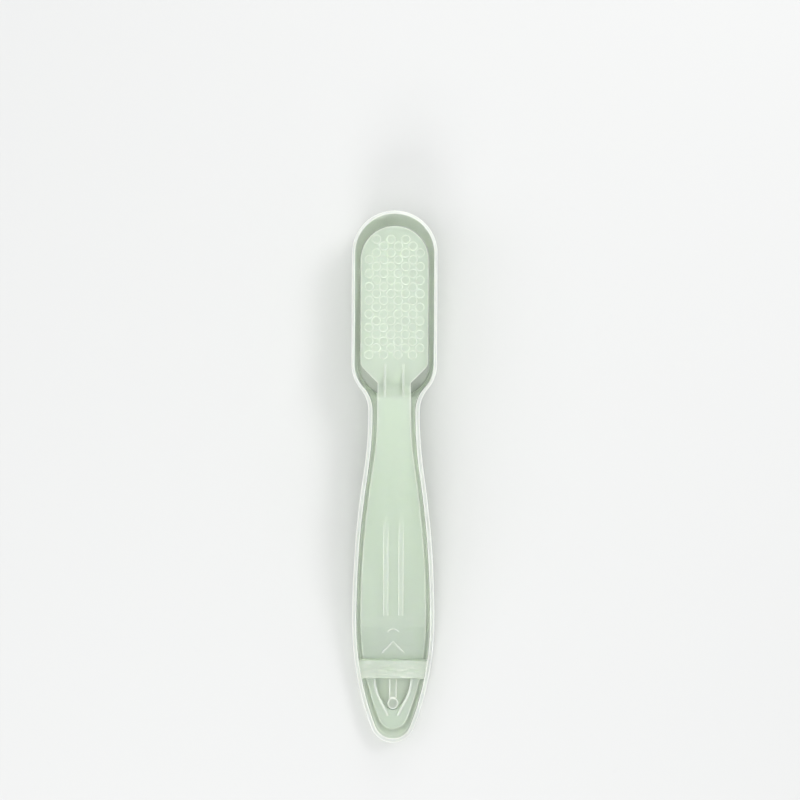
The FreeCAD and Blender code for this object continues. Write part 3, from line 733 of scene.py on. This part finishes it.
rib_lines = (("right", window_rib_line()), ("left", mirrored(window_rib_line())))
window_ribs = [soft_bar(f"{side}_window_rib", line, WINDOW_RIB / 2,
                        flat(PAD_TOP - WINDOW_RIB_SUNK), flat(PAD_TOP + WINDOW_RIB_RISE),
                        WINDOW_RIB_EDGE, WINDOW_RIB_PAINTED_HIGHLIGHT) for side, line in rib_lines]
combine(pusher, window_ribs, "UNION")
print("window ribs on,", len(pusher.data.polygons), "faces")

# %% [markdown]
# ## Ribs, gussets and marks
#
# Two ribs stiffen the lever and taper out towards the neck, and two thin gussets hold the slope
# where the lever drops to the plate. A chevron and a short arc, raised by a hair, show the thumb
# where to press. Each is a bar along a path, which starts inside the pusher and is joined to it,
# and each carries a painted highlight on its sides and its top.

# %% Ribs, gussets and marks
RIB_SIDE = 2.4
RIB_HALF = 0.82
RIB_START = LEAF_FRONT + 0.05
RIB_END = -10.4
RIB_HEIGHT = 0.9
RIB_SUNK = 0.8
RIB_END_SUNK = 0.02
RIB_EDGE = 0.32
# Painted highlight on a rib's sides and top, as with the gussets and marks below.
RIB_PAINTED_HIGHLIGHT = (1.0, 0.1)
GUSSET_SIDE = 2.9
GUSSET_HALF = 0.4
GUSSET_END = 37.0
GUSSET_SUNK = 0.5
GUSSET_EDGE = 0.15
GUSSET_PAINTED_HIGHLIGHT = (0.8, 0.15)
CHEVRON = ((-3.5, -56.0), (-1.75, -54.2), (0, -52.4), (1.75, -54.2), (3.5, -56.0))
CHEVRON_HALF = 0.2
CHEVRON_RISE = 0.12
GATE_MARK = arc((0, -50.4), 2.1, 150, 30, step=0.4)
GATE_MARK_HALF = 0.17
GATE_MARK_RISE = 0.1
MARK_SUNK = 0.4
MARK_EDGE = 0.1
MARK_PAINTED_HIGHLIGHT = (0.68, 0.68)


def rib_top(y):
    """Top of a rib, which tapers to the lever."""
    part = (RIB_END - y) / (RIB_END - LEAF_FRONT)
    return topside(max(y, LEAF_FRONT + SLOPE_STEP)) + RIB_HEIGHT * part - RIB_END_SUNK


def gusset_top(y):
    """Straight slope from the crest of the lever down to the plate."""
    part = (y - CREST_END) / (GUSSET_END - CREST_END)
    return CREST_LEVEL + (PLATE_TOP - CREST_LEVEL) * part


def straight(x, start, end, step):
    """Path along the press, at a distance from its middle line."""
    count = math.ceil((end - start) / step)
    return [(x, start + (end - start) * place / count) for place in range(count + 1)]


def over_top(rise):
    """Height over the top of the pusher, or under it where the rise is negative."""
    return lambda y: topside(y) + rise


extras = []
for side, sign in (("right", 1), ("left", -1)):
    rib_path = straight(sign * RIB_SIDE, RIB_START, RIB_END, step=1.0)
    extras.append(soft_bar(f"{side}_rib", rib_path, RIB_HALF, over_top(-RIB_SUNK), rib_top,
                           RIB_EDGE, RIB_PAINTED_HIGHLIGHT))
    gusset_path = straight(sign * GUSSET_SIDE, CREST_END, GUSSET_END, step=0.7)
    extras.append(soft_bar(f"{side}_gusset", gusset_path, GUSSET_HALF, over_top(-GUSSET_SUNK),
                           gusset_top, GUSSET_EDGE, GUSSET_PAINTED_HIGHLIGHT))
for name, path, half_width, rise in (("chevron", CHEVRON, CHEVRON_HALF, CHEVRON_RISE),
                                     ("gate_mark", GATE_MARK, GATE_MARK_HALF, GATE_MARK_RISE)):
    extras.append(soft_bar(name, path, half_width, over_top(-MARK_SUNK), over_top(rise),
                           MARK_EDGE, MARK_PAINTED_HIGHLIGHT))
combine(pusher, extras, "UNION")
print(len(extras), "ribs, gussets and marks on,", len(pusher.data.polygons), "faces")

# %% [markdown]
# ## Low bumps on the plate
#
# Rice sticks to a smooth plate, so the real one is covered with low round bumps in eight
# staggered columns, four on each side of the middle line. Geometry Nodes suit a pattern: a grid
# of points, every second column shifted by half a step, the points outside the plate deleted,
# and a low disc on each point that is left. The tree ends in Realize Instances and Set Material,
# so that the discs become real mesh that can join the plate.

# %% Geometry Nodes tree for the bumps
GRID_COLUMNS = 13
GRID_ROWS = 15
DISC_CORNERS = 24


def bump_tree(material):
    """Geometry Nodes tree that makes a staggered field of low discs, with a painted highlight on
    their sides.
    """
    tree = bpy.data.node_groups.new("plate_bumps", "GeometryNodeTree")
    tree.interface.new_socket("Geometry", in_out="INPUT", socket_type="NodeSocketGeometry")
    tree.interface.new_socket("Geometry", in_out="OUTPUT", socket_type="NodeSocketGeometry")
    names = ("Column gap", "Pitch", "Bump radius", "Bump slope", "Bump height", "Reach",
             "Tip centre", "Start", "Level", "Painted highlight")
    for name in names:
        tree.interface.new_socket(name, in_out="INPUT", socket_type="NodeSocketFloat")
    size = add_node(tree, "NodeGroupInput").outputs

    def calc(operation, first, second=0.0):
        return add_node(tree, "ShaderNodeMath", {0: first, 1: second},
                        operation=operation).outputs[0]

    length = calc("MULTIPLY", size["Pitch"], GRID_ROWS - 1)
    width = calc("MULTIPLY", size["Column gap"], GRID_COLUMNS - 1)
    grid = add_node(tree, "GeometryNodeMeshGrid",
                    {"Size X": width, "Size Y": length, "Vertices X": GRID_COLUMNS,
                     "Vertices Y": GRID_ROWS})
    place = add_node(tree, "GeometryNodeInputPosition")
    spot = add_node(tree, "ShaderNodeSeparateXYZ", {0: place.outputs[0]}).outputs
    column = calc("ROUND", calc("DIVIDE", spot["X"], size["Column gap"]))
    odd = calc("MODULO", calc("ABSOLUTE", column), 2.0)
    middle = calc("ADD", size["Start"], calc("MULTIPLY", length, 0.5))
    shift_y = calc("ADD", middle, calc("MULTIPLY", odd, calc("MULTIPLY", size["Pitch"], 0.5)))
    half_gap = calc("MULTIPLY", size["Column gap"], 0.5)
    shift = add_node(tree, "ShaderNodeCombineXYZ", {"X": half_gap, "Y": shift_y,
                                                    "Z": size["Level"]})
    staggered = add_node(tree, "GeometryNodeSetPosition", {"Geometry": grid.outputs[0],
                                                           "Offset": shift.outputs[0]})
    past_tip = calc("MAXIMUM", calc("SUBTRACT", spot["Y"], size["Tip centre"]), 0.0)
    corner = add_node(tree, "ShaderNodeCombineXYZ", {"X": spot["X"], "Y": past_tip})
    far = add_node(tree, "ShaderNodeVectorMath", {0: corner.outputs[0]}, operation="LENGTH")
    outside = calc("GREATER_THAN", far.outputs["Value"], size["Reach"])
    inside_plate = add_node(tree, "GeometryNodeDeleteGeometry",
                            {"Geometry": staggered.outputs[0], "Selection": outside},
                            domain="POINT")
    top = calc("SUBTRACT", size["Bump radius"], size["Bump slope"])
    disc = add_node(tree, "GeometryNodeMeshCone",
                    {"Vertices": DISC_CORNERS, "Radius Top": top,
                     "Radius Bottom": size["Bump radius"], "Depth": size["Bump height"]})
    # The sides of each disc get a painted highlight through the rim attribute.
    ring = add_node(tree, "GeometryNodeStoreNamedAttribute",
                    {"Geometry": disc.outputs["Mesh"], "Selection": disc.outputs["Side"],
                     "Name": "painted_rim_highlight", "Value": size["Painted highlight"]},
                    data_type="FLOAT", domain="FACE")
    discs = add_node(tree, "GeometryNodeInstanceOnPoints",
                     {"Points": inside_plate.outputs[0], "Instance": ring.outputs[0]})
    real = add_node(tree, "GeometryNodeRealizeInstances", {0: discs.outputs[0]})
    painted = add_node(tree, "GeometryNodeSetMaterial", {"Geometry": real.outputs[0],
                                                         "Material": material})
    add_node(tree, "NodeGroupOutput", {0: painted.outputs[0]})
    return tree


def set_inputs(modifier, values):
    """Set a Geometry Nodes modifier's inputs through their identifiers."""
    for item in modifier.node_group.interface.items_tree:
        if item.item_type == "SOCKET" and item.in_out == "INPUT" and item.name in values:
            modifier[item.identifier] = values[item.name]


# %% Bumps on the plate
BUMP_HEIGHT = 0.22
BUMP_SUNK = 0.06
PLATE_MARGIN = 2.0
BUMP_SIZES = {
    "Column gap": 2.28 * MM,
    "Pitch": 4.25 * MM,
    "Bump radius": 1.5 * MM,
    "Bump slope": 0.3 * MM,
    "Bump height": (BUMP_HEIGHT + BUMP_SUNK) * MM,
    "Reach": (PLATE_HALF - PLATE_MARGIN) * MM,
    "Tip centre": (PLATE_TIP - PLATE_HALF) * MM,
    "Start": 39.65 * MM,
    "Level": (PLATE_TOP - BUMP_SUNK) * MM,
    "Painted highlight": 0.52,
}

bumps = bpy.data.objects.new("bumps", bpy.data.meshes.new("bumps"))
bpy.context.scene.collection.objects.link(bumps)
bump_modifier = bumps.modifiers.new("plate_bumps", "NODES")
bump_modifier.node_group = bump_tree(pusher_plastic)
set_inputs(bump_modifier, BUMP_SIZES)
apply_modifiers(bumps)
shade(bumps.data)
print(len(bumps.data.polygons) // (DISC_CORNERS + 2), "bumps")
combine(pusher, [bumps], "UNION")

# %% [markdown]
# ## The mould moulding
#
# Its shape is already right in the measured model, but its edges are sharp. A copy of its mesh
# is merged, because the model's triangles don't share corners, and its flat parts are
# dissolved into single faces. A bevel then rounds the edges of the rims, the foot and the strap,
# chosen by where they lie and which way their two faces look. The rounded rim edges get a
# painted highlight, and the flat rim tops a weaker one. On the latch, a thin inset line with a
# painted highlight takes the place of a rounded edge.

# %% Levels of the rim
RIM_TAIL = 6.0
RIM_TOP = 20.0
RIM_SLOPE = math.radians(15.5)
RIM_BEND = -66.0
RIM_BEND_ROUND = 55.0
RIM_CROWN_ROUND = 90.0
BEND_END = RIM_BEND + RIM_BEND_ROUND * math.sin(RIM_SLOPE)
BEND_LEVEL = RIM_TAIL + RIM_BEND_ROUND * (1 - math.cos(RIM_SLOPE))
CROWN_LEVEL = RIM_TOP - RIM_CROWN_ROUND * (1 - math.cos(RIM_SLOPE))
CROWN_START = BEND_END + (CROWN_LEVEL - BEND_LEVEL) / math.tan(RIM_SLOPE)
CROWN_END = CROWN_START + RIM_CROWN_ROUND * math.sin(RIM_SLOPE)
print(f"rim rises from {RIM_BEND:.0f} to {CROWN_END:.0f} mm along the press")


def rim_level(y):
    """Height of the wall tops: low at the tail, a slope, and level from the neck on."""
    if y < RIM_BEND:
        return RIM_TAIL
    if y < BEND_END:
        return RIM_TAIL + RIM_BEND_ROUND - math.sqrt(RIM_BEND_ROUND ** 2 - (y - RIM_BEND) ** 2)
    if y < CROWN_START:
        return BEND_LEVEL + (y - BEND_END) * math.tan(RIM_SLOPE)
    if y < CROWN_END:
        return RIM_TOP - RIM_CROWN_ROUND + math.sqrt(RIM_CROWN_ROUND ** 2 - (CROWN_END - y) ** 2)
    return RIM_TOP


# %% Which edges and faces to soften
STRAP_FRONT = -58.0
STRAP_BACK = -64.1
STRAP_TOP = 4.85
STRAP_BOX = ((-20.0, -64.2, 4.5), (20.0, -57.9, 5.0))
LATCH_BOX = ((-1.9, -74.2, 1.4), (1.9, -57.0, 4.2))
EDGE_ANGLE = math.radians(40)
LOOKS_ASIDE = 0.5
MOSTLY_UP = 0.8
NEAR = 0.05
TOUCHING = 0.01


def within(box, place):
    """True where a place in millimetres lies inside a box."""
    return all(low < value < high for low, value, high in zip(box[0], place, box[1]))


def looks_up_and_aside(edge):
    """True for an edge between a face that looks up or down and one that looks sideways."""
    if not edge.is_manifold or edge.calc_face_angle() < EDGE_ANGLE:
        return False
    steepness = sorted(abs(face.normal.z) for face in edge.link_faces)
    return steepness[0] < LOOKS_ASIDE and steepness[1] > LOOKS_UP


def on_rim(edge):
    """True for the upper edges of the walls, outside and inside."""
    places = [corner.co / MM for corner in edge.verts]
    return looks_up_and_aside(edge) and all(abs(place.z - rim_level(place.y)) < NEAR
                                            for place in places)


def on_foot(edge):
    """True for the lower edges of the mould, outside and inside."""
    return looks_up_and_aside(edge) and all(
        corner.co.z < TOUCHING * MM and corner.co.y > 0 for corner in edge.verts)


def on_strap(edge):
    """True for the long upper edges of the strap."""
    places = [corner.co / MM for corner in edge.verts]
    return looks_up_and_aside(edge) and all(
        abs(place.z - STRAP_TOP) < NEAR
        and min(abs(place.y - STRAP_FRONT), abs(place.y - STRAP_BACK)) < TOUCHING
        for place in places)


def on_strap_top(face):
    """True for the faces on top of the strap, once its edges are rounded."""
    return face.normal.z > MOSTLY_UP and within(STRAP_BOX, face.calc_center_median() / MM)


def on_latch_top(face):
    """True for the top of the latch: its ramp and its round boss."""
    return face.normal.z > LOOKS_UP and all(within(LATCH_BOX, corner.co / MM)
                                            for corner in face.verts)


# %% Softened copy of the mould
FLAT_ANGLE = math.radians(0.3)
RIM_ROUND = 0.32
FOOT_ROUND = 0.25
STRAP_ROUND = 0.3
PAINTED_LATCH_LINE = 0.35
# Painted highlight on the flat rim tops, and a faint one on the strap top.
PAINTED_RIM_TOP_HIGHLIGHT = 0.4
PAINTED_STRAP_HIGHLIGHT = 0.1


def soften(bm, chosen, width):
    """Round the chosen edges, and return the faces that this makes."""
    edges = [edge for edge in bm.edges if chosen(edge)]
    made = bmesh.ops.bevel(bm, geom=edges, offset=width * MM, offset_type="OFFSET", segments=3,
                           profile=0.5, affect="EDGES", clamp_overlap=False)
    bm.normal_update()
    print(chosen.__name__, len(edges), "edges")
    return made["faces"]


def paint_rim_highlight(rounded, glow):
    """Paint a highlight on the rounded faces of the rim, and a weaker painted highlight on the
    flat top between them.
    """
    for face in rounded:
        for edge in face.edges:
            for neighbour in edge.link_faces:
                if neighbour.normal.z > LOOKS_UP:
                    neighbour[glow] = PAINTED_RIM_TOP_HIGHLIGHT
    for face in rounded:
        face[glow] = 1


def paint_latch_highlight(bm, glow):
    """Painted highlight line just inside the edges of the latch, in place of a rounded edge."""
    top = [face for face in bm.faces if on_latch_top(face)]
    line = bmesh.ops.inset_region(bm, faces=top, thickness=PAINTED_LATCH_LINE * MM, use_boundary=True,
                                  use_even_offset=True)["faces"]
    # Painted highlight on the inset line.
    for face in line:
        face[glow] = 1
    print("latch line", len(line), "faces")


def soft_mould():
    """Copy of the measured mould with rounded edges and painted highlights."""
    bm = bmesh.new()
    bm.from_mesh(nodes["mould_body"].data)
    bmesh.ops.remove_doubles(bm, verts=bm.verts, dist=SAME_PLACE)
    bmesh.ops.dissolve_limit(bm, angle_limit=FLAT_ANGLE, verts=bm.verts, edges=bm.edges,
                             delimit={"NORMAL"})
    bm.normal_update()
    painted_rim_highlight = bm.faces.layers.float.new("painted_rim_highlight")
    paint_rim_highlight(soften(bm, on_rim, RIM_ROUND), painted_rim_highlight)
    soften(bm, on_foot, FOOT_ROUND)
    soften(bm, on_strap, STRAP_ROUND)
    paint_latch_highlight(bm, painted_rim_highlight)
    matt_streaks = bm.faces.layers.float.new("matt_streaks")
    for face in bm.faces:
        if on_strap_top(face):
            # Painted highlight: the strap top is painted slightly lighter and less clear, and its
            # matt streaks switch on.
            face[painted_rim_highlight] = PAINTED_STRAP_HIGHLIGHT
            face[matt_streaks] = 1
    return add_piece("mould_moulding", bm, mould_plastic)


mould = soft_mould()
print("mould", len(mould.data.polygons), "faces")

# %% [markdown]
# ## Two mouldings for five solids
#
# Each moulding now takes the place of the solids that it was made for, which are hidden. The
# mould simply rides on the body. In the real press the pusher is held at its tail and turns with
# the lever ahead of the leaf, which bends the leaf; here it stays where it was built, at rest,
# and rides on no body.

# %% Let the two mouldings stand for the measured solids
even_shading(pusher)
even_shading(mould)
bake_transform(pusher)
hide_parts("pusher_tail", "hinge_leaf", "press_lever", "ejector_plate")
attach(mould, "body")
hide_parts("mould_body")
print("pusher", len(pusher.data.polygons), "faces, mould", len(mould.data.polygons), "faces")

# %% [markdown]
#
# The softened model has to fill the same box as the measured one. The script compares the two
# boxes and prints how far they differ.

# %% Compare both boxes and finish
seen_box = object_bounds()
largest_gap = max(abs(seen - measured) for pair in zip(seen_box, measured_box)
                  for seen, measured in zip(*pair))
print(f"the boxes differ by {largest_gap / MM:.3f} mm at most")
